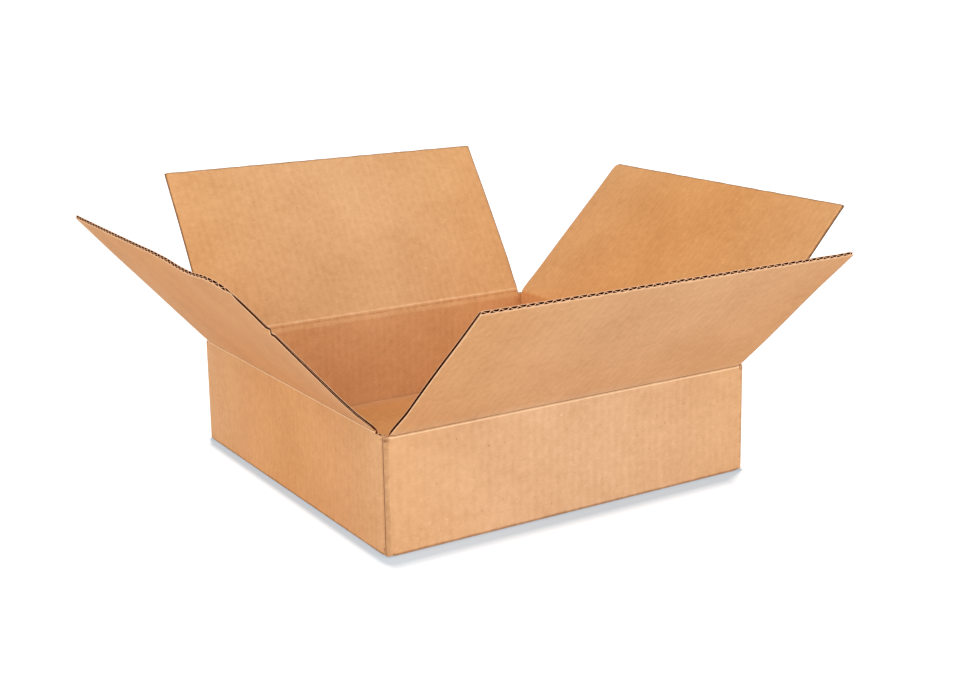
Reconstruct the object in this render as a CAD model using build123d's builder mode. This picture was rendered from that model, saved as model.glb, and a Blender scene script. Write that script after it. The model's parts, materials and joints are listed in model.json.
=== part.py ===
from build123d import *
import os
from math import atan2, cos, radians, sin, tan

# Open, low carton of corrugated board, folded from one slotted blank. The origin is the
# middle of the underside and +Z is up. The front wall faces -Y and the left wall -X.
# Millimetres and degrees.

# Outside of the folded box, and the height of the front and back flaps' creases
length = 311.0
width = 311.0
crease_height = 84.0

# The board: two liners with a fluted medium between them
board = 3.0
liner = 0.35
medium = 0.35
flute_pitch = 6.35
flute_crest = 1.1

# Folds, creases and slots of the blank
fold_radius = 2.0
foot_bevel = 1.0
slot_inset = 4.5
slot_clearance = 0.5
crease_gap = 0.3
meeting_gap = 1.5
leaf_gap = 0.3

# The glued tab that joins the two ends of the blank, inside the front wall
tab_width = 38.0
tab_taper_angle = 15.0
tab_clearance = 1.5
joint_gap = 0.8
groove_depth = 1.8

# How far each flap leans out from upright, as it stands open
front_angle = 47.5
back_angle = 34.5
left_angle = 42.0
right_angle = 44.0

# How far a flap folds out from upright before its edge meets the table
fold_out_angle = 120.0
fold_out_margin_angle = 1.0

# Worn corners: the left flap's crushed one and the right flap's torn one
crushed_corner = 4.0
torn_corner = 5.0

os.makedirs("parts", exist_ok=True)

past = 1.0
inner_floor_level = board + leaf_gap
floor_top = inner_floor_level + board
outer_crease_height = crease_height + board / 2 + crease_gap
half_gap = crease_gap / 2
fold_out_slope = tan(radians(fold_out_angle / 2 + fold_out_margin_angle))
up = Vector(0, 0, 1)

# The left and right flaps close over the front and back ones, so their creases are
# higher, and pivot at the middle of the board. The others pivot at the outer liner.
outward = {
    "front": Vector(0, -1, 0),
    "back": Vector(0, 1, 0),
    "left": Vector(-1, 0, 0),
    "right": Vector(1, 0, 0),
}
opening_angle = {"front": front_angle, "back": back_angle, "left": left_angle, "right": right_angle}
worn_corner = {"front": 0, "back": 0, "left": crushed_corner, "right": torn_corner}
sides = list(outward)


def closes_over(side):
    """Is this the pair of flaps, and of leaves, that lies outside the other?"""
    return side in ("left", "right")


def pivot_depth(side):
    """How deep in the wall the pivot line lies."""
    return board / 2 if closes_over(side) else 0.0


def pivot_height(side):
    return outer_crease_height if closes_over(side) else crease_height


def half_span(side):
    """Half the box, from its middle to the side's outer face."""
    return length / 2 if closes_over(side) else width / 2


def crease_length(side):
    return (width if closes_over(side) else length) - 2 * slot_inset


def flap_length(side):
    """From the pivot line to the middle of the box, less half the gap that is left there."""
    return half_span(side) - pivot_depth(side) - meeting_gap / 2


def across(side, height=0.0, depth=0.0, leaning=0.0):
    """Plane across a wall: local X points into the box and local Y up, from a line that
    lies at this height and this deep inside the wall's outer face. Across a flap, both
    turn with it as it leans out."""
    normal = outward[side]
    tilt = radians(leaning)
    start = normal * (half_span(side) - depth) + up * height
    return Plane(
        origin=start, x_dir=normal * -cos(tilt) + up * sin(tilt), z_dir=up.cross(normal)
    )


def score_outline(depth, direction, end):
    """What the score takes from a board that stops at the pivot line, the origin. The
    wall below it has direction -1 and the flap above it 1. The inner bevels let the flap
    close to level, and the outer ones let it fold out to its limit."""
    inside = board - depth + past
    outside = depth + past
    slope = fold_out_slope if depth else 0.0
    return [
        (-outside, direction * (half_gap + outside * slope)),
        (0, direction * half_gap),
        (inside, direction * (half_gap + inside)),
        (inside, end),
        (-outside, end),
    ]


def leaf_outline(side):
    """Section of a bottom leaf. An inner leaf rises from its wall's foot on to the outer
    leaves, past their side edges."""
    end = half_span(side) - meeting_gap / 2
    if closes_over(side):
        return [(board / 2, 0), (end, 0), (end, board), (board / 2, board)]
    return [
        (board / 2, 0),
        (board, 0),
        (slot_inset - leaf_gap, inner_floor_level),
        (end, inner_floor_level),
        (end, floor_top),
        (board / 2, floor_top),
    ]


# The walls are one strip, folded round three corners. At the front left corner it folds
# once more, into the tab, which is glued inside the raw end of the front wall.
strip_x = length / 2 - board / 2
strip_y = width / 2 - board / 2
raw_end_x = -length / 2 + joint_gap
tab_y = -strip_y + board
tab_root_x = -strip_x + 2 * fold_radius
tab_end_x = -length / 2 + tab_width
tab_foot = floor_top + tab_clearance
tab_head = crease_height - board - tab_clearance
taper = (tab_end_x - tab_root_x) * tan(radians(tab_taper_angle))
slot_end = slot_inset - slot_clearance

with BuildPart() as carton:
    with BuildSketch(Plane.XY):
        with BuildLine():
            FilletPolyline(
                (raw_end_x, -strip_y),
                (strip_x, -strip_y),
                (strip_x, strip_y),
                (-strip_x, strip_y),
                (-strip_x, tab_y + 2 * fold_radius),
                radius=fold_radius,
            )
        trace(line_width=board)
    extrude(amount=outer_crease_height)
    with BuildSketch(Plane.XY):
        with BuildLine():
            FilletPolyline(
                (-strip_x, tab_y + 2 * fold_radius),
                (-strip_x, tab_y),
                (tab_root_x, tab_y),
                radius=fold_radius,
            )
        trace(line_width=board)
    extrude(amount=outer_crease_height)

    # The tab stops short of the folded flaps and leaves, and tapers to its free edge
    for start, height in ((0, tab_foot), (tab_head, outer_crease_height - tab_head)):
        with BuildSketch(Plane.XY.offset(start)):
            with Locations((-length / 2 + board, -width / 2 + board)):
                Rectangle(2 * fold_radius, board + past, align=(Align.MIN, Align.MIN))
        extrude(amount=height, mode=Mode.SUBTRACT)
    with BuildSketch(Plane.XZ.offset(-tab_y - board / 2)):
        with BuildLine():
            Polyline(
                (tab_root_x, tab_foot),
                (tab_end_x, tab_foot + taper),
                (tab_end_x, tab_head - taper),
                (tab_root_x, tab_head),
                close=True,
            )
        make_face()
    extrude(amount=board)

    # The raw end of the front wall is cut along a flute, which stands open
    with BuildSketch(Plane.XY):
        with BuildLine():
            Polyline(
                (raw_end_x - past, -width / 2 + liner),
                (raw_end_x, -width / 2 + liner),
                (raw_end_x + groove_depth, -width / 2 + board / 2),
                (raw_end_x, -width / 2 + board - liner),
                (raw_end_x - past, -width / 2 + board - liner),
                close=True,
            )
        make_face()
    extrude(amount=outer_crease_height, mode=Mode.SUBTRACT)

    # The slots between the flaps end at the corners
    with BuildSketch(Plane.XY.offset(crease_height)):
        with GridLocations(length, width, 2, 2):
            Rectangle(2 * slot_end, 2 * slot_end)
    extrude(amount=board + past, mode=Mode.SUBTRACT)

    for side in sides:
        half_crease = crease_length(side) / 2

        # The score at the top of the wall
        depth = pivot_depth(side)
        with BuildSketch(across(side, pivot_height(side), depth)):
            with BuildLine():
                Polyline(*score_outline(depth, -1, board), close=True)
            make_face()
        extrude(amount=half_crease + slot_clearance, both=True, mode=Mode.SUBTRACT)

        # The crushed fold at its foot
        with BuildSketch(across(side)):
            with BuildLine():
                Polyline(
                    (-past, foot_bevel + past),
                    (-past, -past),
                    (foot_bevel + past, -past),
                    close=True,
                )
            make_face()
        extrude(amount=half_crease + slot_inset + past, both=True, mode=Mode.SUBTRACT)

    # The four leaves of the closed bottom
    for side in sides:
        with BuildSketch(across(side)):
            with BuildLine():
                Polyline(*leaf_outline(side), close=True)
            make_face()
        extrude(amount=crease_length(side) / 2, both=True)

carton.part.label = "carton"
export_step(carton.part, "parts/carton.step")


# The medium's flanks lean so that it runs from liner to liner between flat crests. The
# space on each side of a crest is a flute, open at the flap's outer edge.
wave = board - 2 * liner - medium
flank_run = flute_pitch / 2 - flute_crest
flank_lean = atan2(wave, flank_run)
flank_shift = medium / 2 * tan(flank_lean / 2)
flute_base = flute_pitch / 2 - flute_crest / 2 - flank_shift
flute_tip = flute_crest / 2 - flank_shift


def flute_outline(direction):
    """Section of one flute, whose base lies on the liner that direction points to."""
    base = direction * (board / 2 - liner)
    tip = direction * (board / 2 - liner - wave)
    return [(-flute_base, base), (flute_base, base), (flute_tip, tip), (-flute_tip, tip)]


for side in sides:
    depth = pivot_depth(side)
    half_crease = crease_length(side) / 2
    flutes = int(crease_length(side) / flute_pitch) + 2
    # Across the open flap: local X through the board, Y out to its edge, Z along the crease
    leaned = across(side, pivot_height(side), depth, opening_angle[side])
    section = Plane(origin=leaned.origin, x_dir=leaned.z_dir, z_dir=leaned.y_dir)
    face = Plane(origin=leaned.origin, x_dir=leaned.z_dir, z_dir=leaned.x_dir * -1)

    with BuildPart() as flap:
        with BuildSketch(section):
            with Locations((0, board / 2 - depth)):
                Rectangle(crease_length(side), board)
                with GridLocations(flute_pitch, 0, flutes, 1):
                    Polygon(*flute_outline(1), align=None, mode=Mode.SUBTRACT)
                with GridLocations(flute_pitch, 0, flutes - 1, 1):
                    Polygon(*flute_outline(-1), align=None, mode=Mode.SUBTRACT)
        extrude(amount=flap_length(side))

        # The score at the crease
        with BuildSketch(leaned):
            with BuildLine():
                Polyline(*score_outline(depth, 1, -past), close=True)
            make_face()
        extrude(amount=half_crease + past, both=True, mode=Mode.SUBTRACT)

        # A worn corner
        if worn_corner[side] > 0:
            corner = worn_corner[side]
            with BuildSketch(face):
                with BuildLine():
                    Polyline(
                        (half_crease - corner, flap_length(side)),
                        (half_crease, flap_length(side) - corner),
                        (half_crease + past, flap_length(side) + past),
                        close=True,
                    )
                make_face()
            extrude(amount=2 * board, both=True, mode=Mode.SUBTRACT)

    flap.part.label = side + "_flap"
    export_step(flap.part, "parts/" + side + "_flap.step")
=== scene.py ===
import json
from math import cos, pi, radians, sin, tan

import bpy
import numpy as np
from mathutils import Matrix, Vector


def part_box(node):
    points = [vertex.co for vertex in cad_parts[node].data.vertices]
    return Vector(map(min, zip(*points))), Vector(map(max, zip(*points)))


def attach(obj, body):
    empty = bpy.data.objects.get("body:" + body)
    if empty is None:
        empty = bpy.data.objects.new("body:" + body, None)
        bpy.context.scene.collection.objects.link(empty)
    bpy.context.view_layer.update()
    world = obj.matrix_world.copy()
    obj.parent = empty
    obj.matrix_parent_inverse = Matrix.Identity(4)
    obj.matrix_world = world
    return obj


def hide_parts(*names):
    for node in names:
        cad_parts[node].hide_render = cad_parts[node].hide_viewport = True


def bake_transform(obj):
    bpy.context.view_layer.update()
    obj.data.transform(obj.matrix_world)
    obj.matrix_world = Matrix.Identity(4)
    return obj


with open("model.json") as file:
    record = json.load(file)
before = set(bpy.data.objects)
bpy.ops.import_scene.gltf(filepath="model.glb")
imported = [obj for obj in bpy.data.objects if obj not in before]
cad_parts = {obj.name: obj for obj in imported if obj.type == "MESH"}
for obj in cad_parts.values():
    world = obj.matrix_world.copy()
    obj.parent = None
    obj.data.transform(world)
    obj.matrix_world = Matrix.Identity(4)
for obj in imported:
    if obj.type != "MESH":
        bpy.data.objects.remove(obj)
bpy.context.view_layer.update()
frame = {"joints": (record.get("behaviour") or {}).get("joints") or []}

# Open, low carton of corrugated board, in metres, in the frame of the solids. The walls are
# one strip of board, and each flap and each bottom leaf is a scored fold with a panel beyond.
carton_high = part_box("carton")[1]
half_size = carton_high.x

# The board: two liners with a wavy medium between them, whose flutes run a little askew on
# the flaps and leaves. The wave is a sine less a share of its doubled cosine.
BOARD = 0.003
LINER = 0.00040
MEDIUM = 0.00052
FLUTE_PITCH = 0.00635
FLUTE_SKEW = 0.012
DOUBLED_SHARE = 0.25
WAVE_HEIGHT = (BOARD - 2 * LINER - MEDIUM) / 2

# Folds, slots and gaps of the blank, how far short of the solids the flaps' and leaves'
# edges end, and how far above the table the folds and the posts at the corners do
CORNER_RADIUS = 0.002
SLOT_INSET = 0.0045
SLOT_GAP = 0.0001
MEETING_GAP = 0.0015
EDGE_MARGIN = 0.0005
TABLE_CLEARANCE = 0.0001
POST_FOOT = 0.0012

# How far the front and back leaves step up on to the others, and where on their way
INNER_LEAF_STEP = 0.0033
STEP_START = 0.0006
STEP_RUN = 0.0024

# The raw end of the front wall, the glued tab inside it, and how far the left flap's side
# is cut back beside them
JOINT_GAP = 0.0003
JOINT_TRIM = 0.008
TAB_WIDTH = 0.038
TAB_FOOT = 0.0078
TAB_HEAD = 0.0795
TAB_TAPER = radians(15)

# Scores: how far they reach on both sides of the pivot line, and how far their turn does.
# The dips and the lip are bells on the way from the pivot line to the panel, each given by
# its width and its middle. They are uneven by a share, in bumps of this length.
FOLD_REACH = 0.0045
TURN_REACH = 0.0020
OUTER_DIP = (0.0005, 0.0002)
OUTER_LIP = (0.0005, -0.0012)
INNER_DIP = (0.0016, 0.0)
UNEVEN_SHARE = 0.2
UNEVEN_LENGTH = 0.03

# The outer and inner depth of each kind of score, and the height of its lip. The left and
# right flaps pivot at the middle of the board, and the front and back ones at its outside.
MIDDLE_SCORE = (0.0009, 0.0002, 0.0003)
OUTSIDE_SCORE = (0.0006, 0.0011, 0.0003)
LEAF_SCORE = (0.0003, 0.0006, 0.0)

# Painted light across a score, as the height, width and middle of bells. Above 0 it is a
# painted highlight, and below 0 painted shade.
LIP_HIGHLIGHT_AND_SHADE = ((1.3, 0.00042, -0.0010), (-1.6, 0.00042, 0.0004))
FOOT_PAINTED_SHADE = ((-0.6, 0.0007, -0.0007),)
INNER_HIGHLIGHT_AND_SHADE = ((0.62, 0.0009, 0.0030), (-0.34, 0.0005, 0.0008))

# What share of the board's thickness is pressed away at the sides of a flap or leaf, at its
# outer edge, at its score and at the strip's raw end, and how wide the pressed bands are.
# The thin sides of some flaps set in above the score, over this run.
SIDE_PRESS = 0.25
THIN_SIDE_PRESS = 0.62
EDGE_PRESS = 0.12
SCORE_PRESS = 0.25
RAW_END_PRESS = 0.5
SIDE_BAND = 0.0014
EDGE_BAND = 0.0010
SCORE_BAND = 0.002
PRESS_RUN = 0.02

# Wear of the cuts, which is multiplied by its strength beside a side and beside an edge
RUBBED = 1
PRESSED = -0.8
DARK = -1.1
SIDE_WEAR = 0.9
EDGE_WEAR = 0.8
WEAR_BAND = 0.0010

# Gentle bumps of the flaps and leaves, which rise and fade over these runs, and the
# unevenness of their outer edges
RIPPLE = 0.0004
LEAF_RIPPLE = 0.00012
RIPPLE_LENGTH = 0.12
RIPPLE_RISE = 0.04
RIPPLE_FALL = 0.05
RIPPLE_LOSS = 0.8
LEAF_LIFT = 0.0003
LIFT_RUN = 0.01
CUT_WAVE = 0.00015
CUT_WAVE_LENGTH = 0.02

# How far the start and the end of the front and back flaps are shifted along their scores
FRONT_SHIFT = (0.0024, 0.0012)
BACK_SHIFT = (-0.0012, 0.0)
SHIFT_RUN = 0.03

# The left flap's crushed corner and the dent in the side below it
CRUSH_WIDTH = 0.034
CRUSH_DEPTH = 0.0095
CRUSH_CURL = 0.0006
CRUMPLE = 0.0006
CRUMPLE_LENGTH = 0.006
TIP_PRESS = 0.7
TIP_BAND = 0.0040
DENT_HEIGHT = 0.106
DENT_SHIFT = 0.0018
DENT_WIDTH = 0.0022
DENT_RUN = 0.012
DENT_PRESS = 0.4
DENT_BAND = 0.0028

# The lean of that side, whose start and return are shares of its length, and the bow and
# the hollow of the outer edge, with a bell on the way along the score
SIDE_LEAN = 0.0014
SIDE_RETURN = 0.0010
LEAN_END = 0.15
RETURN_START = 0.5
EDGE_BOW = 0.0007
EDGE_SAG = 0.0018
SAG_BELL = (0.12, 0.80)
HOLLOW_SHARE = 1.1

# The right flap's torn corner
TEAR_WIDTH = 0.006
TEAR_DEPTH = 0.0035
TEAR_FLARE = 0.0030
RAGGED_SHARE = 0.35
RAGGED_LENGTH = 0.0022

# The walls' gentle bow, which fades towards the corners
WALL_BOW = 0.0005
WALL_BOW_LENGTH = 0.16
WALL_BOW_FADE = 0.05
WALL_SEED = 7

# Painted shade along the walls' corners, outside and inside, and on the tops of the posts between
# slots
OUTER_CORNER_SHADE = -0.45
INNER_CORNER_SHADE = -0.6
CORNER_BAND = 0.0024
POST_TOP_SHADE = -0.7
POST_BELL = (0.0007, 0.0020)
POST_REACH = 0.0075
POST_FADE = 0.002

# Spacing of the points along the score and across it, which is finer beside its middle
SCORE_COLUMN = 0.003
SCORE_ROW = 0.0006
FINE_ROW = 0.0002
FINE_START = -0.0026
FINE_END = 0.0016

# Spacing on a panel: fine at its sides, and in between at the end with the worn corner.
# The rows crowd towards the outer edge by this power, and more lie at the left flap's dent.
SIDE_RUN = 0.003
SIDE_COLUMN = 0.0003
WORN_RUN = 0.036
WORN_COLUMN = 0.0010
PANEL_COLUMN = 0.0035
PANEL_ROWS = 34
PANEL_MEDIUM_ROWS = 12
ROW_POWER = 1.8
DENT_ROWS = 15
DENT_ROWS_REACH = 0.005

# Spacing on the walls, and of the flutes everywhere
CORNER_POINTS = 9
WALL_COLUMN = 0.0023
WALL_ROWS = 24
WALL_MEDIUM_ROWS = 6
WALL_MEDIUM_START = 0.0002
SAMPLES_PER_FLUTE = 16

# The search for the places where the top of the walls jumps: how many points it looks at,
# and the least jump. A post's top is known within the least step, and two columns within
# the last distance are one. A straight run faces its side by more than this cosine.
SEARCH_POINTS = 20001
LEAST_JUMP = 0.0005
LEAST_STEP = 0.0001
SAME_PLACE = 1e-6
STRAIGHT = 0.9

# Kraft paper's patterns: the size of their blots in metres, their detail and roughness, and
# how much they stretch. Each has a share in the tone and a height in the relief.
CLOUD = (0.055, 2)
MOTTLE = (0.0065, 3, 0.6)
FIBRE = (0.0011, 3, 0.65)
FIBRE_STRETCH = (0.35, 1, 1)
CLOUD_TONE, MOTTLE_TONE, FIBRE_TONE, RIB_TONE = 0.7, 0.8, 0.6, 0.035
CLOUD_RELIEF, MOTTLE_RELIEF, FIBRE_RELIEF, RIB_RELIEF = 0.0004, 0.00016, 0.00008, 0.00002
PAPER_ROUGHNESS = 0.78
ROUGHNESS_RANGE = 0.2

# Its painted tint for the warmer light on the left and right and the light bounced on to the
# bottom, which sets in below the walls over this run, and the run above them over which the
# flaps' painted tint for their light sets in
WARM_LIGHT_TINT = (1.0, 0.845, 0.61, 1)
WARM_LIGHT_RUN = 0.02
FLAP_LIGHT_RUN = 0.01

# Pale and dark specks: how they stretch, their blots, the levels of the noise at which they
# start and are complete, their strength from there to there, and their colour
SPECKS = (
    ((1, 1, 1), (0.0028, 1), (0.71, 0.79, 0.0, 0.55), (248, 206, 162)),
    ((1.5, 1, 1), (0.0024, 0), (0.80, 0.86, 0.0, 0.45), (132, 82, 48)),
)
# Rubbed paper and painted highlight, and pressed paper and painted shade: how patchy each
# is, the levels of wear and painted light at which it starts and is complete, and its colour
WEAR_AND_PAINTED_LIGHT_PAPER = (
    (0.7, (0.15, 1.0), (255, 214, 168)),
    (0.5, (-0.15, -1.0), (122, 72, 34)),
)

# Cut and crushed paper: its fur's detail and roughness, and its relief
FUR = (3, 0.7)
FUR_RELIEF = 0.0002
CUT_ROUGHNESS = 0.85
CUT_ROUGHNESS_RANGE = 0.1

SMOOTH_ANGLE = radians(38)

# The photograph's frame, and the camera that was fitted to the box's corners in it
PHOTO_WIDTH = 963
PHOTO_HEIGHT = 680
FOCAL_PIXELS = 1515.9
CENTRE_PIXEL = (509.6, 262.3)
CAMERA_AZIMUTH = radians(-32.596)
CAMERA_ELEVATION = radians(11.640)
CAMERA_ROLL = radians(-0.721)
CAMERA_DISTANCE = 1.7644
CAMERA_TARGET = Vector((0.3353, 0.4561, 0.040))
SENSOR_WIDTH = 36

# The floor, and the band of shadow on it: its reach beyond each side, and the run from the
# side's end over which it grows from its least reach
FLOOR_HALF = 12
LEFT_SHADOW = (0.0115, 0.018)
FRONT_SHADOW = (0.029, 0.026)
FAR_SHADOW = (0.006, 0.010)
LEAST_SHADOW = 0.0005
SHADOW_CORE = 0.35
FLOOR_COLOUR = (0.80, 0.80, 0.80, 1)
SEEN_COLOUR = (0.35, 0.35, 0.35, 1)
SHADOW_COLOUR = (0.31, 0.39, 0.45, 1)

# Light from all round, and each lamp's name, place, size, power and colour
WORLD_LEVEL = 0.74
LAMP_TARGET = Vector((0, 0, 0.05))
LAMPS = [
    ("front_lamp", (0.5, -2.4, 0.9), 1.8, 25, (0.90, 1, 1.08)),
    ("left_lamp", (-2.0, -0.5, 1.5), 1.6, 18.3, (1, 1, 0.98)),
]

UP = np.array([0.0, 0.0, 1.0])

# What each wall and its corner's quarter circle take of the flat blank
WALL_RUN = 2 * (half_size - BOARD / 2 - CORNER_RADIUS) + CORNER_RADIUS * pi / 2

# Where each wall faces, in the order in which the strip of board goes round
OUTWARD = {
    "front": np.array([0.0, -1.0, 0.0]),
    "right": np.array([1.0, 0.0, 0.0]),
    "back": np.array([0.0, 1.0, 0.0]),
    "left": np.array([-1.0, 0.0, 0.0]),
}
creases = {joint["child"]: joint for joint in frame["joints"]}


def add_camera():
    """The camera looks back along one direction at the target, rolled about that direction."""
    azimuth, elevation = CAMERA_AZIMUTH, CAMERA_ELEVATION
    back = Vector((sin(azimuth) * cos(elevation), -cos(azimuth) * cos(elevation), sin(elevation)))
    right = Vector((cos(azimuth), sin(azimuth), 0))
    above = back.cross(right)
    turned_right = right * cos(CAMERA_ROLL) + above * sin(CAMERA_ROLL)
    turned_above = above * cos(CAMERA_ROLL) - right * sin(CAMERA_ROLL)
    lens = bpy.data.cameras.new("camera")
    lens.sensor_width = SENSOR_WIDTH
    lens.lens = FOCAL_PIXELS * SENSOR_WIDTH / PHOTO_WIDTH
    lens.shift_x = (PHOTO_WIDTH / 2 - CENTRE_PIXEL[0]) / PHOTO_WIDTH
    lens.shift_y = (CENTRE_PIXEL[1] - PHOTO_HEIGHT / 2) / PHOTO_WIDTH
    lens.clip_start = 0.01
    lens.clip_end = 50
    camera = bpy.data.objects.new("camera", lens)
    rotation = Matrix((turned_right, turned_above, back)).transposed().to_4x4()
    camera.matrix_world = Matrix.Translation(CAMERA_TARGET + back * CAMERA_DISTANCE) @ rotation
    bpy.context.scene.collection.objects.link(camera)
    bpy.context.scene.camera = camera


class Signal:
    """A number that varies over a surface. Sums, products and quotients of signals and plain
    numbers add Math nodes to its tree."""

    def __init__(self, tree, socket):
        self.tree = tree
        self.socket = socket

    def __add__(self, other):
        return self.tree.maths("ADD", self, other)

    def __radd__(self, other):
        return self.tree.maths("ADD", other, self)

    def __sub__(self, other):
        return self.tree.maths("SUBTRACT", self, other)

    def __rsub__(self, other):
        return self.tree.maths("SUBTRACT", other, self)

    def __mul__(self, other):
        return self.tree.maths("MULTIPLY", self, other)

    def __rmul__(self, other):
        return self.tree.maths("MULTIPLY", other, self)

    def __truediv__(self, other):
        return self.tree.maths("DIVIDE", self, other)

    def wave(self):
        return self.tree.maths("SINE", self, 0)


class Tree:
    """The node tree of a material or of the world."""

    def __init__(self, owner):
        owner.use_nodes = True
        self.nodes = owner.node_tree.nodes
        self.links = owner.node_tree.links

    def node(self, kind, settings=None, values=None, output=0):
        """A node of this kind: its settings first, then the values or links of its sockets."""
        made = self.nodes.new(kind)
        for name, setting in (settings or {}).items():
            setattr(made, name, setting)
        for socket, value in (values or {}).items():
            self.feed(made.inputs[socket], value)
        return Signal(self, made.outputs[output])

    def feed(self, socket, value):
        if isinstance(value, Signal):
            self.links.new(value.socket, socket)
        else:
            socket.default_value = value

    def maths(self, operation, first, second):
        return self.node("ShaderNodeMath", {"operation": operation}, {0: first, 1: second})

    def length(self, vector):
        return self.node("ShaderNodeVectorMath", {"operation": "LENGTH"}, {0: vector}, 1)

    def noise(self, where, size, detail=2.0, roughness=0.5):
        """Cloudy noise from 0 to 1 with blots of this size, in metres."""
        values = {"Vector": where, "Scale": 1 / size, "Detail": detail, "Roughness": roughness}
        return self.node("ShaderNodeTexNoise", None, values)

    def ramp(self, signal, start, end, low=0.0, high=1.0):
        """The low level up to start and the high one from end, with a straight slope between."""
        values = {
            "Value": signal, "From Min": start, "From Max": end, "To Min": low, "To Max": high
        }
        return self.node("ShaderNodeMapRange", {"clamp": True}, values)

    def mix(self, share, first, second, way="MIX"):
        """A share of the way from the first colour to the second one, or to their product."""
        settings = {"data_type": "RGBA", "blend_type": way}
        return self.node("ShaderNodeMix", settings, {0: share, 6: first, 7: second}, 2)

    def placed(self, where, scale, shift=(0, 0, 0)):
        """The pattern place, scaled by its own factor along each axis and then shifted."""
        values = {"Vector": where, "Scale": scale, "Location": shift}
        return self.node("ShaderNodeMapping", None, values)


class Finish(Tree):
    """A material with one Principled shader, whose constants are set on its own sockets."""

    def __init__(self, name, constants):
        self.material = bpy.data.materials.new(name)
        super().__init__(self.material)
        self.shader = self.nodes["Principled BSDF"]
        for socket, value in constants.items():
            self.shader.inputs[socket].default_value = value

    def set(self, socket, value):
        self.feed(self.shader.inputs[socket], value)

    def bump(self, height):
        """Relief of this height, in metres."""
        self.set("Normal", self.node("ShaderNodeBump", None, {"Height": height, "Distance": 1.0}))


def linear(red, green, blue):
    """A colour given as it looks, from 0 to 255, as the linear one that shaders take."""
    levels = np.array([red, green, blue]) / 255
    curved = np.where(levels > 0.04045, ((levels + 0.055) / 1.055) ** 2.4, levels / 12.92)
    return (*(float(level) for level in curved), 1.0)


def kraft_liner(name, light, dark, flap_light_tint, shift):
    """Brown kraft paper over flutes. It is painted warmer on the left, right and bottom than on
    the front and back, as a wave along the blank, for the warmer light on the sides and the
    light bounced inside the box, and the flaps have a painted tint of their own for the light
    that falls on them. Clouds and mottling vary its colour, fibres lie across the flutes, faint
    ribs show where the medium is glued, and a few small specks are scattered. Where the
    piece's wear and painted light is above 0 the paper is paler, where it is rubbed and where
    a highlight is painted, and below 0 it is darker, where it is pressed and where shade is
    painted."""
    finish = Finish(name, {"Specular IOR Level": 0.2, "Sheen Weight": 0.06, "Sheen Roughness": 0.5})
    board = finish.node("ShaderNodeUVMap", {"uv_map": "board"})
    across = finish.node("ShaderNodeSeparateXYZ", None, {0: board})
    upward = finish.node("ShaderNodeSeparateXYZ", None, {0: board}, 1)
    wear = finish.node("ShaderNodeAttribute", {"attribute_name": "wear"}, None, 2)

    where = finish.placed(board, (1, 1, 1), shift)
    cloud = finish.noise(where, *CLOUD)
    mottle = finish.noise(where, *MOTTLE)
    fibre = finish.noise(finish.placed(where, FIBRE_STRETCH), *FIBRE)
    rib = (across * (2 * pi / FLUTE_PITCH)).wave()
    tone = 0.5 + (cloud - 0.5) * CLOUD_TONE + (mottle - 0.5) * MOTTLE_TONE
    tone = tone + (fibre - 0.5) * FIBRE_TONE + rib * RIB_TONE
    base = finish.mix(finish.ramp(tone, 0.0, 1.0), dark, light)

    # Painted light: a wave along the blank, warmest on the left and right walls, and the bottom
    # below the walls, tint the paper for warmer and bounced light there
    turn = (across * (pi / WALL_RUN) + (pi / 2 - pi / WALL_RUN * half_size)).wave()
    painted_warm_light = finish.maths("MAXIMUM", 0.5 - turn * 0.5, finish.ramp(upward, 0.0, -WARM_LIGHT_RUN))
    base = finish.mix(painted_warm_light, base, WARM_LIGHT_TINT, "MULTIPLY")
    flap_light_share = finish.ramp(upward, carton_high.z, carton_high.z + FLAP_LIGHT_RUN)
    base = finish.mix(flap_light_share, base, flap_light_tint, "MULTIPLY")
    for stretch, blots, levels, colour in SPECKS:
        speck = finish.ramp(finish.noise(finish.placed(where, stretch), *blots), *levels)
        base = finish.mix(speck, base, linear(*colour))
    # Paler where the paper is rubbed and where a highlight is painted, darker where it is pressed
    # and where shade is painted
    for patchy, levels, colour in WEAR_AND_PAINTED_LIGHT_PAPER:
        wear_and_light_share = finish.ramp(wear + (mottle - 0.5) * patchy, *levels)
        base = finish.mix(wear_and_light_share, base, linear(*colour))

    finish.set("Base Color", base)
    finish.set("Roughness", PAPER_ROUGHNESS + (mottle - 0.5) * ROUGHNESS_RANGE)
    finish.bump(
        rib * RIB_RELIEF + fibre * FIBRE_RELIEF + mottle * MOTTLE_RELIEF + cloud * CLOUD_RELIEF
    )
    return finish.material


def cut_paper(name, dark, light, grain):
    """Paper at a knife's cut or a crushed place: furry, with a grain of this size."""
    finish = Finish(name, {"Specular IOR Level": 0.12})
    where = finish.node("ShaderNodeTexCoord", None, None, 3)
    fur = finish.noise(where, grain, *FUR)
    finish.set("Base Color", finish.mix(fur, dark, light))
    finish.set("Roughness", CUT_ROUGHNESS + fur * CUT_ROUGHNESS_RANGE)
    finish.bump(fur * FUR_RELIEF)
    return finish.material


# Both liners carry painted light: a warm tint on the sides and bottom, and a tint on the flaps
FINISHES = [
    kraft_liner(
        "kraft_liner_outside",
        light=linear(239, 194, 152),
        dark=linear(207, 156, 111),
        flap_light_tint=(0.99, 0.90, 0.77, 1),
        shift=(0, 0, 0),
    ),
    kraft_liner(
        "kraft_liner_inside",
        light=linear(238, 188, 137),
        dark=linear(206, 150, 96),
        flap_light_tint=(0.97, 0.98, 1, 1),
        shift=(0.37, 0.61, 0),
    ),
    cut_paper("cut_liner_edge", linear(214, 146, 100), linear(255, 206, 164), 0.0009),
    # The flutes' paper is painted dark, as the shade inside the flutes
    cut_paper("fluting_paper", linear(78, 30, 10), linear(112, 50, 20), 0.002),
    cut_paper("raw_end_paper", linear(190, 130, 74), linear(232, 176, 118), 0.0012),
]
OUTSIDE, INSIDE, EDGE, SHADED_FLUTE, RAW = range(len(FINISHES))


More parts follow.
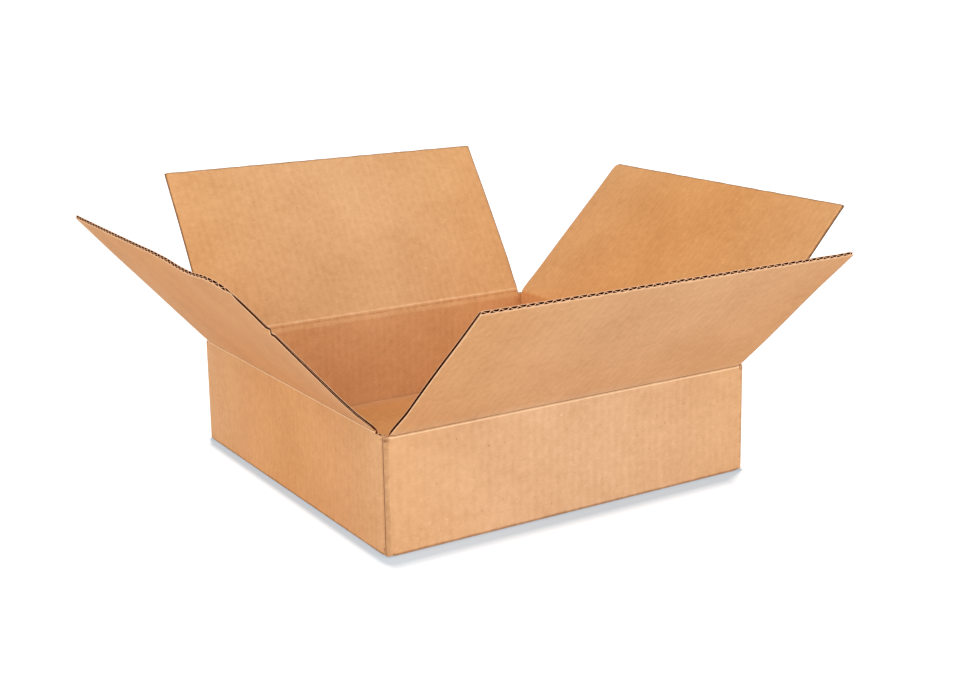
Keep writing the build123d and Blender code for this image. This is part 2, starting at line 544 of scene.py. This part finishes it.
def slab(near, far):
    """A closed sheet between two grids of points of one shape: the near face, the far face
    turned over, and a rim of quads that joins their borders. Each quad has a side: 0 on the
    near face, 1 on the far one and 2 on the rim. The quads are turned outwards by the sign
    of the volume inside them."""
    rows, columns = near.shape[:2]
    index = np.arange(rows * columns).reshape(rows, columns)
    face = np.stack([index[:-1, :-1], index[1:, :-1], index[1:, 1:], index[:-1, 1:]], axis=-1)
    face = face.reshape(-1, 4)
    border = np.concatenate([index[0, :-1], index[:-1, -1], index[-1, :0:-1], index[:0:-1, 0]])
    ahead = np.roll(border, -1)
    below = rows * columns
    rim = np.stack([border, ahead, ahead + below, border + below], axis=-1)
    quads = np.concatenate([face, face[:, ::-1] + below, rim])
    sides = np.repeat([0, 1, 2], [len(face), len(face), len(rim)])
    points = np.concatenate([near.reshape(-1, 3), far.reshape(-1, 3)])
    first, second, third, fourth = (points[quads[:, corner]] for corner in range(4))
    volume = np.sum(first * np.cross(second, third)) + np.sum(first * np.cross(third, fourth))
    return points, quads if volume > 0 else quads[:, ::-1], sides


class Mesh:
    """Gathers closed sheets into one object, with a finish for each side of each sheet. Its
    UV map is the place on the flat blank, in metres, and each point has its wear and painted
    light: rubbed and pressed paper, and painted highlight and shade."""

    def __init__(self):
        self.points = []
        self.quads = []
        self.finishes = []
        self.places = []
        self.wear = []
        self.count = 0

    def add(self, near, far, place, finishes, near_wear_and_painted_light=0.0, far_wear_and_painted_light=0.0):
        points, quads, sides = slab(near, far)
        self.points.append(points)
        self.quads.append(quads + self.count)
        self.finishes.append(np.array(finishes)[sides])
        self.places.append(np.tile(place.reshape(-1, 2), (2, 1)))
        for wear in (near_wear_and_painted_light, far_wear_and_painted_light):
            self.wear.append(np.broadcast_to(wear, near.shape[:2]).ravel())
        self.count += len(points)

    def build(self, name):
        points = np.concatenate(self.points)
        quads = np.concatenate(self.quads)
        places = np.concatenate(self.places)
        mesh = bpy.data.meshes.new(name)
        mesh.vertices.add(len(points))
        mesh.vertices.foreach_set("co", points.astype(np.float32).ravel())
        mesh.loops.add(quads.size)
        mesh.loops.foreach_set("vertex_index", quads.ravel())
        mesh.polygons.add(len(quads))
        mesh.polygons.foreach_set("loop_start", np.arange(0, quads.size, 4))
        mesh.update(calc_edges=True)
        mesh.polygons.foreach_set("material_index", np.concatenate(self.finishes))
        mesh.polygons.foreach_set("use_smooth", np.ones(len(quads), bool))
        layer = mesh.uv_layers.new(name="board")
        layer.data.foreach_set("uv", places[quads.ravel()].astype(np.float32).ravel())
        # Each point's wear and painted light: rubbed and pressed paper, and painted highlight and
        # shade
        wear = mesh.attributes.new("wear", "FLOAT", "POINT")
        wear.data.foreach_set("value", np.concatenate(self.wear).astype(np.float32))
        for finish in FINISHES:
            mesh.materials.append(finish)
        mesh.set_sharp_from_angle(angle=SMOOTH_ANGLE)
        mesh.validate()
        piece = bpy.data.objects.new(name, mesh)
        bpy.context.scene.collection.objects.link(piece)
        return piece


def waviness(first, second, seed, length):
    """Gentle bumps, mostly between -1 and 1: a third of the sum of six sine waves that cross
    the sheet in random directions, with wavelengths of 0.7 to 1.3 times this length."""
    draw = np.random.default_rng(seed)
    total = 0
    for heading, phase, share in draw.uniform(0, 1, (6, 3)):
        along = first * cos(2 * pi * heading) + second * sin(2 * pi * heading)
        total = total + np.sin(2 * pi * (along / (length * (0.7 + 0.6 * share)) + phase))
    return total / 3


def smooth(share):
    """0 below 0, 1 above 1, and between them the even S of 3 * share ** 2 - 2 * share ** 3."""
    share = np.clip(share, 0, 1)
    return share * share * (3 - 2 * share)


def bell(place, width, middle=0.0):
    """1 at the middle, falling evenly on both sides: exp(-((place - middle) / width) ** 2)."""
    return np.exp(-(((place - middle) / width) ** 2))


def bells(place, table):
    """The sum of bells that are given by their height, width and middle."""
    return sum(height * bell(place, width, middle) for height, width, middle in table)


def spaced(start, end, size):
    """Even steps of about this size from start to end."""
    return np.linspace(start, end, max(2, int(abs(end - start) / size) + 2))


def flute_wave(along):
    """The height of the medium, from -1 at the outer liner to 1 at the inner one, and its
    slope in metres per metre. The height is sin(a) - DOUBLED_SHARE * (cos(2 a) + 1), which is
    broad at the outer liner and narrow at the inner one."""
    angle = 2 * pi * along / FLUTE_PITCH
    height = np.sin(angle) - DOUBLED_SHARE * np.cos(2 * angle) - DOUBLED_SHARE
    slope = (np.cos(angle) + 2 * DOUBLED_SHARE * np.sin(2 * angle)) * 2 * pi / FLUTE_PITCH
    return height, slope * WAVE_HEIGHT


class Fold:
    """A score, and the panel that turns about it. Beside the score, X is the depth into the
    board from the pivot line, Y the way from it towards the panel, and the turn is outward.
    The start is the place on the flat blank of the middle of the pivot line, and the sense
    is the panel's direction there, up or down."""

    def __init__(self, name, body, side, pivot, rise, turn, length, step=0.0, trim=0.0):
        self.name = name
        self.body = body
        self.pivot = pivot
        self.outward = OUTWARD[side]
        self.rise = rise
        self.along = np.cross(rise, self.outward)
        self.turn = turn
        self.low = SLOT_INSET - half_size
        self.high = half_size - SLOT_INSET - trim
        self.length = length
        self.depth = half_size - abs(float(pivot @ self.outward))
        self.step = step
        self.sense = float(rise[2])
        self.start = half_size - JOINT_GAP + list(OUTWARD).index(side) * WALL_RUN

    def place(self, along, x, y, share=1.0):
        """Points at these places, turned about the pivot line by a share of the turn: the
        panel's direction is rise * cos + outward * sin, and its depth runs across that.
        Just past the pivot line, a leaf that steps up is shifted by its step."""
        angle = np.asarray(self.turn * share)[..., None]
        ahead = self.rise * np.cos(angle) + self.outward * np.sin(angle)
        inward = -self.outward * np.cos(angle) + self.rise * np.sin(angle)
        along, x, y = (part[..., None] for part in np.broadcast_arrays(along, x, y))
        x = x + self.step * smooth((y - STEP_START) / STEP_RUN)
        return self.pivot + along * self.along + ahead * y + inward * x

    def on_blank(self, along, y):
        """The same places on the flat blank."""
        along, y = np.broadcast_arrays(along, y)
        return np.stack([self.start + self.sense * along, self.pivot[2] + self.sense * y], axis=-1)


def scored_fold(fold, seed, depths):
    """The board at a score, as its two liners and the crushed medium between them. Both faces
    dip at the pivot line as bells, and the outer one swells into a lip below its dip. On a
    flap the lip has a painted highlight and the dip painted shade, and at the foot of a wall
    the fold has painted shade. Where the inner face dips deeper than its liner, it has a thin
    line of painted shade and a painted highlight beyond it. Each point turns by its share of
    the turn, as a sheet bent between two bodies does. The sides are pressed thinner, and
    nothing lies below the table."""
    outer_depth, inner_depth, lip_height = depths
    along, y = np.meshgrid(
        spaced(fold.low, fold.high, SCORE_COLUMN),
        np.concatenate([
            spaced(-FOLD_REACH, FINE_START, SCORE_ROW)[:-1],
            spaced(FINE_START, FINE_END, FINE_ROW),
            spaced(FINE_END, FOLD_REACH, SCORE_ROW)[1:],
        ]),
        indexing="ij",
    )
    share = smooth((y + TURN_REACH) / (2 * TURN_REACH))
    uneven = 1 + UNEVEN_SHARE * waviness(along, 0 * y, seed, UNEVEN_LENGTH)
    relief = outer_depth * bell(y, *OUTER_DIP) - lip_height * bell(y, *OUTER_LIP)
    outer = -fold.depth + relief * uneven
    inner = BOARD - fold.depth - inner_depth * bell(y, *INNER_DIP) * uneven
    # Painted highlight on a flap's lip and painted shade in its dip, painted shade at a wall's
    # foot, and inside a line of painted shade with a painted highlight beyond it
    outer_painted_shading = bells(y, FOOT_PAINTED_SHADE if fold.sense < 0 else LIP_HIGHLIGHT_AND_SHADE)
    inner_painted_shading = bells(y, INNER_HIGHLIGHT_AND_SHADE) * (inner_depth > LINER)

    at_side = bell(np.minimum(along - fold.low, fold.high - along), SIDE_BAND)
    press = SIDE_PRESS * smooth(1 + y / FOLD_REACH) + SCORE_PRESS * bell(y, SCORE_BAND)
    middle = BOARD / 2 - fold.depth
    faces = []
    for layer in (outer, outer + LINER, inner - LINER, inner):
        face = fold.place(along, middle + (layer - middle) * (1 - press * at_side), y, share)
        face[..., 2] = np.maximum(face[..., 2], TABLE_CLEARANCE)
        faces.append(face)
    place = fold.on_blank(along, y)
    mesh = Mesh()
    mesh.add(faces[0], faces[1], place, (OUTSIDE, SHADED_FLUTE, EDGE), near_wear_and_painted_light=outer_painted_shading)
    mesh.add(faces[1], faces[2], place, (SHADED_FLUTE, SHADED_FLUTE, SHADED_FLUTE))
    mesh.add(faces[2], faces[3], place, (SHADED_FLUTE, INSIDE, EDGE), far_wear_and_painted_light=inner_painted_shading)
    return mesh


def panel(mesh, fold, form):
    """The two liners and the medium beyond a score. The form gives the panel's length at
    each place along the score, its rows of points, its wear, and how far its sides, its
    faces and its thickness depart there from a flat sheet's."""
    low, high = fold.low, fold.high
    outer_face = -fold.depth
    inner_face = BOARD - fold.depth
    middle = (outer_face + inner_face) / 2

    def sheet(along, outer, inner, finishes, rows):
        """A sheet between two faces. Each one gives its points' slide along the score and X."""
        reach = form.reach(rows)[None, :]
        along = np.broadcast_to(along[:, None], (len(along), reach.size))
        y = FOLD_REACH + (form.cut(along) - FOLD_REACH) * reach
        faces = []
        for slide, x in (outer(along, y), inner(along, y)):
            x = middle + (x - middle) * form.thickness(along, y) + form.warp(along, y)
            faces.append(fold.place(along + slide + form.side(along, y), x, y))
        rub = form.rub(along, y)
        mesh.add(*faces, fold.on_blank(along, y), finishes, rub, rub)

    def level(x):
        def face(along, y):
            return np.zeros_like(along), np.full_like(along, x)
        return face

    def medium(direction):
        """The face of the medium that lies half its thickness off the wave's middle line."""
        def face(along, y):
            height, slope = flute_wave(fold.start + fold.sense * along + FLUTE_SKEW * y)
            push = direction * MEDIUM / 2 / np.sqrt(1 + slope * slope)
            return -fold.sense * slope * push, middle + height * WAVE_HEIGHT + push
        return face

    columns = np.concatenate([
        spaced(low, low + SIDE_RUN, SIDE_COLUMN)[:-1],
        spaced(low + SIDE_RUN, high - WORN_RUN, PANEL_COLUMN),
        spaced(high - WORN_RUN, high - SIDE_RUN, WORN_COLUMN)[1:-1],
        spaced(high - SIDE_RUN, high, SIDE_COLUMN),
    ])
    outer_liner = (level(outer_face), level(outer_face + LINER), (OUTSIDE, SHADED_FLUTE, EDGE))
    inner_liner = (level(inner_face - LINER), level(inner_face), (SHADED_FLUTE, INSIDE, EDGE))
    for liner in (outer_liner, inner_liner):
        sheet(columns, *liner, PANEL_ROWS)
    waves = spaced(low + MEDIUM, high - MEDIUM, FLUTE_PITCH / SAMPLES_PER_FLUTE)
    sheet(waves, medium(-1), medium(1), (SHADED_FLUTE, SHADED_FLUTE, EDGE), PANEL_MEDIUM_ROWS)


def strip_path():
    """The middle line of the wall strip, seen from above, as lengths along it, points and
    outward directions. Straight runs meet in quarter circles of the corner radius."""
    side = half_size - BOARD / 2
    tab_line = -side + BOARD
    turns = [
        (-half_size + JOINT_GAP, -side),
        (side, -side),
        (side, side),
        (-side, side),
        (-side, tab_line),
        (-half_size + TAB_WIDTH, tab_line),
    ]
    points, normals = [], []
    for before, here, after in zip([None] + turns[:-1], turns, turns[1:] + [None]):
        ahead = np.subtract(after, here) if after else np.subtract(here, before)
        ahead = ahead / np.linalg.norm(ahead)
        behind = np.subtract(here, before) if before else ahead
        behind = behind / np.linalg.norm(behind)
        if not before or not after:
            points.append(np.array(here))
            normals.append(np.array([ahead[1], -ahead[0]]))
            continue
        for angle in np.linspace(0, pi / 2, CORNER_POINTS):
            centre = np.array(here) - behind * CORNER_RADIUS + ahead * CORNER_RADIUS
            spoke = behind * sin(angle) - ahead * cos(angle)
            points.append(centre + spoke * CORNER_RADIUS)
            normals.append(spoke)
    points, normals = np.array(points), np.array(normals)
    lengths = np.concatenate([[0], np.cumsum(np.linalg.norm(np.diff(points, axis=0), axis=1))])
    return lengths, points, normals


def wall_strip(folds, feet):
    """The walls: both liners and the medium follow the strip's middle line. Above a bottom
    leaf and below a flap they stop at the score. The posts at the corners stand from just
    above the table to the lower creases, and their tops have painted shade. The corners have
    a little painted shade, and the knife has pressed the strip's raw end thinner."""
    lengths, points, normals = strip_path()
    post_top = min(float(fold.pivot[2]) for fold in folds.values())
    tab_root = lengths[-1] - TAB_WIDTH + BOARD + CORNER_RADIUS * 2

    def followed(s):
        """The point and the unit outward direction at these lengths along the strip."""
        x, y = (np.interp(s, lengths, points[:, axis]) for axis in (0, 1))
        across, ahead = (np.interp(s, lengths, normals[:, axis]) for axis in (0, 1))
        size = np.hypot(across, ahead)
        return x, y, across / size, ahead / size

    def heights(s):
        """The foot and the top of the strip at these lengths along it."""
        x, y, across, ahead = followed(s)
        foot = np.full(s.shape, POST_FOOT)
        top = np.full(s.shape, post_top)
        for side, fold in folds.items():
            facing = across * fold.outward[0] + ahead * fold.outward[1] > STRAIGHT
            facing = facing & (s < tab_root)
            along = (x * fold.along[0] + y * fold.along[1]) * fold.sense
            below_flap = facing & (fold.low - SLOT_GAP < along) & (along < fold.high + SLOT_GAP)
            above_leaf = facing & (np.abs(along) < half_size - SLOT_INSET + SLOT_GAP)
            top = np.where(below_flap, fold.pivot[2] - FOLD_REACH, top)
            foot = np.where(above_leaf, feet[side].pivot[2] + FOLD_REACH, foot)
        taper = (s - tab_root) * tan(TAB_TAPER)
        top = np.where(s > tab_root, TAB_HEAD - taper, top)
        foot = np.where(s > tab_root, TAB_FOOT + taper, foot)
        return foot, top

    def sheet(s, offset, rows, finishes):
        """A sheet whose faces have this slide along the strip and distance from its line."""
        share = 1 - np.linspace(1, 0, rows)[None, :] ** 2
        foot, top = (level[:, None] for level in heights(s))
        z = foot + (top - foot) * share
        s = np.broadcast_to(s[:, None], z.shape)
        x, y, across, ahead = followed(s)
        corner = half_size - np.minimum(np.abs(x), np.abs(y))
        bow = WALL_BOW * waviness(s, z, WALL_SEED, WALL_BOW_LENGTH)
        bow = bow * smooth(corner / WALL_BOW_FADE) * np.sin(pi * share)
        pressed = 1 - RAW_END_PRESS * bell(s, SIDE_BAND)
        faces = []
        for direction in (1, -1):
            slide, distance = offset(s, direction)
            distance = distance * pressed + bow
            faces.append(np.stack([
                x + across * distance - ahead * slide,
                y + ahead * distance + across * slide,
                z,
            ], axis=-1))
        # Painted shade along the corners, outside and inside, and on the tops of the posts
        corner_shade_band = bell(corner - BOARD / 2, CORNER_BAND)
        crushed = bell(top - z, *POST_BELL) * smooth((POST_REACH - corner) / POST_FADE)
        crushed = crushed * (top > post_top - LEAST_STEP)
        outer_painted_shading = OUTER_CORNER_SHADE * corner_shade_band + POST_TOP_SHADE * crushed
        place = np.stack([s, z], axis=-1)
        mesh.add(*faces, place, finishes, outer_painted_shading, INNER_CORNER_SHADE * corner_shade_band)

    def liner(middle):
        def offset(s, direction):
            return np.zeros_like(s), np.full_like(s, middle + direction * LINER / 2)
        return offset

    def medium(s, direction):
        """The medium's faces lie half its thickness off the wave's middle line."""
        height, slope = flute_wave(s)
        push = direction * MEDIUM / 2 / np.sqrt(1 + slope * slope)
        return slope * push, push - height * WAVE_HEIGHT

    # Columns on both sides of each place where the top jumps, so that it stays sharp there
    fine = np.linspace(0, lengths[-1], SEARCH_POINTS)
    jumps = np.flatnonzero(np.abs(np.diff(heights(fine)[1])) > LEAST_JUMP)
    even = spaced(0, lengths[-1], WALL_COLUMN)
    columns = np.unique(np.concatenate([lengths, fine[jumps], fine[jumps + 1], even]))
    columns = columns[np.concatenate([[True], np.diff(columns) > SAME_PLACE])]
    mesh = Mesh()
    sheet(columns, liner(BOARD / 2 - LINER / 2), WALL_ROWS, (OUTSIDE, SHADED_FLUTE, EDGE))
    sheet(columns, liner(-BOARD / 2 + LINER / 2), WALL_ROWS, (SHADED_FLUTE, INSIDE, EDGE))
    waves = spaced(WALL_MEDIUM_START, lengths[-1] - MEDIUM, FLUTE_PITCH / SAMPLES_PER_FLUTE)
    sheet(waves, medium, WALL_MEDIUM_ROWS, (RAW, RAW, EDGE))
    return mesh


def flap_fold(side):
    """The fold of a top flap, from its joint: at its lower limit the flap lies level. The
    left one's side is cut back beside the joint of the strip."""
    joint = creases[side + "_flap"]
    pivot = np.array(joint["pos_m"], float)
    lean = radians(-joint["range_deg"][0] - 90)
    length = abs(float(pivot @ OUTWARD[side])) - MEETING_GAP / 2
    trim = JOINT_TRIM if side == "left" else 0.0
    name = side + "_flap"
    return Fold(name, name, side, pivot, UP, lean, length, trim=trim)


def leaf_fold(side):
    """The fold of a bottom leaf, closed to level. The front and back leaves step up on to
    the left and right ones."""
    pivot = OUTWARD[side] * (half_size - BOARD / 2) + UP * BOARD / 2
    length = half_size - BOARD / 2 - MEETING_GAP / 2
    step = INNER_LEAF_STEP if side in ("front", "back") else 0.0
    return Fold(side + "_leaf", "carton", side, pivot, -UP, -pi / 2, length, step)


class Form:
    """How a flap or leaf departs from a flat sheet with straight edges. Ripples are gentle
    bumps, which stand off inwards for a bias of 1 and outwards for -1. The panel may be lifted
    inwards a little, and its two sides shifted along the score. The cuts give the wear at
    the start and the end of the score and at the outer edge, and the press is what share of
    the thickness the sides lose beyond the score."""

    def __init__(
        self, fold, seed, bias=0, cuts=(RUBBED, RUBBED, RUBBED), ripple=RIPPLE, lift=0.0,
        shift=(0.0, 0.0), press=SIDE_PRESS
    ):
        self.fold = fold
        self.seed = seed
        self.bias = bias
        self.cuts = cuts
        self.ripple = ripple
        self.lift = lift
        self.shift = shift
        self.press = press

    def reach(self, rows):
        """The rows of points, from 0 at the score to 1 at the outer edge, closest there."""
        return 1 - np.linspace(1, 0, rows) ** ROW_POWER

    def to_side(self, along):
        """The distance to the nearer side."""
        return np.minimum(along - self.fold.low, self.fold.high - along)

    def sideways(self, along):
        """From 0 at the start of the score to 1 at its end."""
        return (along - self.fold.low) / (self.fold.high - self.fold.low)

    def rub(self, along, y):
        """The wear beside the cuts, as a bell at each."""
        start, end, edge = self.cuts
        at_start = bell(along - self.fold.low, WEAR_BAND)
        at_end = bell(self.fold.high - along, WEAR_BAND)
        at_edge = bell(self.cut(along) - y, WEAR_BAND)
        return SIDE_WEAR * (start * at_start + end * at_end) + EDGE_WEAR * edge * at_edge

    def warp(self, along, y):
        """The bumps fade to nothing at the score and to a share of them at the outer edge."""
        reach = y - FOLD_REACH
        bumps = self.bias + np.sin(waviness(along, y, self.seed, RIPPLE_LENGTH))
        at_edge = smooth(1 - (self.fold.length - y) / RIPPLE_FALL)
        bumps = bumps * smooth(reach / RIPPLE_RISE) * (1 - RIPPLE_LOSS * at_edge)
        return self.ripple * bumps + self.lift * smooth(reach / LIFT_RUN)

    def cut(self, along):
        """How far from the pivot line the outer edge lies."""
        uneven = CUT_WAVE * waviness(along, 0 * along, self.seed + 1, CUT_WAVE_LENGTH)
        return self.fold.length - EDGE_MARGIN + uneven

    def side(self, along, y):
        """The shift along the score, which sets in above it."""
        start, end = self.shift
        shift = start + (end - start) * self.sideways(along)
        return shift * smooth((y - FOLD_REACH) / SHIFT_RUN)

    def thickness(self, along, y):
        """The knife has pressed the board thinner along its sides, and less at its edge."""
        at_side = bell(self.to_side(along), SIDE_BAND)
        press = SIDE_PRESS + (self.press - SIDE_PRESS) * smooth((y - FOLD_REACH) / PRESS_RUN)
        return 1 - press * at_side - EDGE_PRESS * bell(self.cut(along) - y, EDGE_BAND)


class CrushedForm(Form):
    """A flap whose corner at the end of its score is crushed and curled outwards, with the
    board pinched there and at a dent in the side below it. That side leans out a little more
    than the rest, and the outer edge is slightly hollow and bowed outwards."""

    def reach(self, rows):
        """Extra rows lie close together at the dent in the side."""
        edge = self.fold.length - CRUSH_DEPTH - FOLD_REACH
        spread = np.linspace(-DENT_ROWS_REACH, DENT_ROWS_REACH, DENT_ROWS)
        dent = (DENT_HEIGHT - FOLD_REACH + spread) / edge
        return np.unique(np.concatenate([super().reach(rows), dent]))

    def crush(self, along):
        """The square of the way into the crushed corner, from 0 to 1 at its tip."""
        share = np.clip((along - self.fold.high + CRUSH_WIDTH) / CRUSH_WIDTH, 0, 1)
        return share * share

    def hollow(self, along):
        """Half a sine wave, and a bell behind the crushed corner."""
        sideways = self.sideways(along)
        return EDGE_BOW * np.sin(pi * sideways) + EDGE_SAG * bell(sideways, *SAG_BELL)

    def warp(self, along, y):
        """The side's lean sets in just above the score and mostly goes again in the upper
        half. It grows with the cube of the way to that side. The dent pushes the side in
        above its middle and out below it."""
        share = y / self.fold.length
        back = smooth((share - RETURN_START) / (1 - RETURN_START))
        lean = SIDE_LEAN * smooth(share / LEAN_END) - SIDE_RETURN * back
        lean = lean * self.sideways(along) ** 3
        bow = self.hollow(along) * smooth(share)
        near_edge = smooth((y - self.fold.length + CRUSH_WIDTH) / CRUSH_WIDTH)
        near_side = smooth((along - self.fold.high + DENT_RUN) / DENT_RUN)
        way = (y - DENT_HEIGHT) / DENT_WIDTH
        dent = DENT_SHIFT * way * np.exp(-way * way) * near_side
        curl = CRUSH_CURL * self.crush(along) * near_edge
        return super().warp(along, y) - lean - bow - curl + dent

    def cut(self, along):
        crumple = CRUMPLE * waviness(along, 0 * along, self.seed + 2, CRUMPLE_LENGTH)
        crushed = self.crush(along)
        hollow = HOLLOW_SHARE * self.hollow(along)
        return super().cut(along) - hollow - CRUSH_DEPTH * crushed + crumple * crushed

    def thickness(self, along, y):
        """The board is thinnest at the corner's tip, and thin at the dent."""
        to_side = self.fold.high - along
        tip = bell(np.hypot(to_side, self.fold.length - CRUSH_DEPTH - y), TIP_BAND)
        dent = bell(np.hypot(to_side, DENT_HEIGHT - y), DENT_BAND)
        return super().thickness(along, y) * (1 - TIP_PRESS * tip) * (1 - DENT_PRESS * dent)


class TornForm(Form):
    """A flap whose corner at the end of its score is torn off raggedly, and whose side is cut
    back more and more towards it."""

    def side(self, along, y):
        return -TEAR_FLARE * self.sideways(along) ** 3 * smooth(y / self.fold.length)

    def cut(self, along):
        share = np.clip((along - self.fold.high + TEAR_WIDTH) / TEAR_WIDTH, 0, 1)
        ragged = 1 + RAGGED_SHARE * waviness(along, 0 * along, self.seed + 2, RAGGED_LENGTH)
        return super().cut(along) - TEAR_DEPTH * share * ragged


def add_flap(fold, form, depths):
    """A flap's panel, and the blended fold below it."""
    mesh = Mesh()
    panel(mesh, fold, form)
    piece = mesh.build(fold.name + "_panel")
    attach(piece, fold.body)
    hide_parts(fold.name)
    score = scored_fold(fold, form.seed + 3, depths).build(fold.name + "_score")
    ahead = fold.place(0.0, 0.0, TURN_REACH)
    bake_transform(score)


def add_leaf(fold, form):
    """A bottom leaf's panel and fold, both part of the closed bottom."""
    mesh = scored_fold(fold, form.seed + 3, LEAF_SCORE)
    panel(mesh, fold, form)
    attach(mesh.build(fold.name), "carton")


def add_stage():
    """A pale floor. It shows the box's shadow in a narrow band round its foot, and beyond
    that the camera sees it white: what it adds grows with the distance to the box. In the band
    the camera sees a darker paint with a bluish-grey glow added, so the band's reach and tint
    are a painted shadow over the box's own. The distance beyond each side is taken as a share
    of the shadow's reach there, which grows from nearly nothing at an end of the side over a
    short run. From below it is clear."""
    pale = bpy.data.materials.new("pale_floor")
    tree = Tree(pale)
    tree.nodes.clear()
    where = tree.node("ShaderNodeTexCoord", None, None, 3)
    x, y = (tree.node("ShaderNodeSeparateXYZ", None, {0: where}, axis) for axis in (0, 1))

    def beyond(distance, room, reach, run):
        grown = tree.ramp(room, -half_size, run - half_size, LEAST_SHADOW, reach)
        return tree.maths("MAXIMUM", distance - half_size, 0) / grown

    left = beyond(-1 * x, -1 * y, *LEFT_SHADOW)
    front = beyond(-1 * y, -1 * x, *FRONT_SHADOW)
    right = beyond(x, -1 * tree.maths("ABSOLUTE", y, 0), *FAR_SHADOW)
    back = beyond(y, -1 * tree.maths("ABSOLUTE", x, 0), *FAR_SHADOW)
    away = tree.length(tree.node("ShaderNodeCombineXYZ", None, {0: left + right, 1: front + back}))
    paint = tree.node("ShaderNodeBsdfDiffuse", None, {"Color": FLOOR_COLOUR})
    seen_paint = tree.node("ShaderNodeBsdfDiffuse", None, {"Color": SEEN_COLOUR})
    added = tree.mix(tree.ramp(away, SHADOW_CORE, 1.0), SHADOW_COLOUR, (1, 1, 1, 1))
    added = tree.node("ShaderNodeEmission", None, {"Color": added})
    lit = tree.node("ShaderNodeAddShader", None, {0: seen_paint, 1: added})
    camera_ray = tree.node("ShaderNodeLightPath")
    glossy_ray = tree.node("ShaderNodeLightPath", None, None, 3)
    seen = tree.maths("MAXIMUM", camera_ray, glossy_ray)
    shown = tree.node("ShaderNodeMixShader", None, {0: seen, 1: paint, 2: lit})
    below = tree.node("ShaderNodeNewGeometry", None, None, 6)
    clear = tree.node("ShaderNodeBsdfTransparent")
    surface = tree.node("ShaderNodeMixShader", None, {0: below, 1: shown, 2: clear})
    tree.feed(tree.nodes.new("ShaderNodeOutputMaterial").inputs["Surface"], surface)

    mesh = bpy.data.meshes.new("floor")
    corners = [(-1, -1), (1, -1), (1, 1), (-1, 1)]
    corners = [(FLOOR_HALF * across, FLOOR_HALF * ahead, 0) for across, ahead in corners]
    mesh.from_pydata(corners, [], [(0, 1, 2, 3)])
    mesh.materials.append(pale)
    floor = bpy.data.objects.new("floor", mesh)
    bpy.context.scene.collection.objects.link(floor)


def add_light():
    """Soft light from all round, and two large lamps, at the front and at the left. The
    camera sees the background white."""
    world = bpy.data.worlds.new("studio")
    bpy.context.scene.world = world
    tree = Tree(world)
    camera_ray = tree.node("ShaderNodeLightPath")
    background = tree.nodes["Background"]
    background.inputs["Color"].default_value = (1.0, 1.0, 1.0, 1)
    tree.feed(background.inputs["Strength"], tree.ramp(camera_ray, 0, 1, WORLD_LEVEL, 1.0))
    for name, place, size, power, colour in LAMPS:
        lamp = bpy.data.lights.new(name, "AREA")
        lamp.size = size
        lamp.energy = power
        lamp.color = colour
        lamp_object = bpy.data.objects.new(name, lamp)
        lamp_object.location = place
        aim = LAMP_TARGET - Vector(place)
        lamp_object.rotation_mode = "QUATERNION"
        lamp_object.rotation_quaternion = aim.to_track_quat("-Z", "Y")
        bpy.context.scene.collection.objects.link(lamp_object)


add_camera()
flaps = {side: flap_fold(side) for side in OUTWARD}
leaves = {side: leaf_fold(side) for side in OUTWARD}
walls = wall_strip(flaps, leaves).build("carton_walls")
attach(walls, "carton")
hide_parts("carton")

thin_cuts = {"cuts": (DARK, DARK, DARK), "press": THIN_SIDE_PRESS}
forms = {
    "front": Form(flaps["front"], 100, 1, (RUBBED, PRESSED, RUBBED), shift=FRONT_SHIFT),
    "right": TornForm(flaps["right"], 110, -1, **thin_cuts),
    "back": Form(flaps["back"], 120, 1, shift=BACK_SHIFT, **thin_cuts),
    "left": CrushedForm(flaps["left"], 130, -1, (PRESSED, RUBBED, RUBBED)),
}
for side, form in forms.items():
    add_flap(flaps[side], form, OUTSIDE_SCORE if side in ("front", "back") else MIDDLE_SCORE)
for number, leaf in enumerate(leaves.values()):
    add_leaf(leaf, Form(leaf, 200 + 10 * number, ripple=LEAF_RIPPLE, lift=LEAF_LIFT))

add_stage()
add_light()
bpy.context.scene.view_settings.view_transform = "Standard"
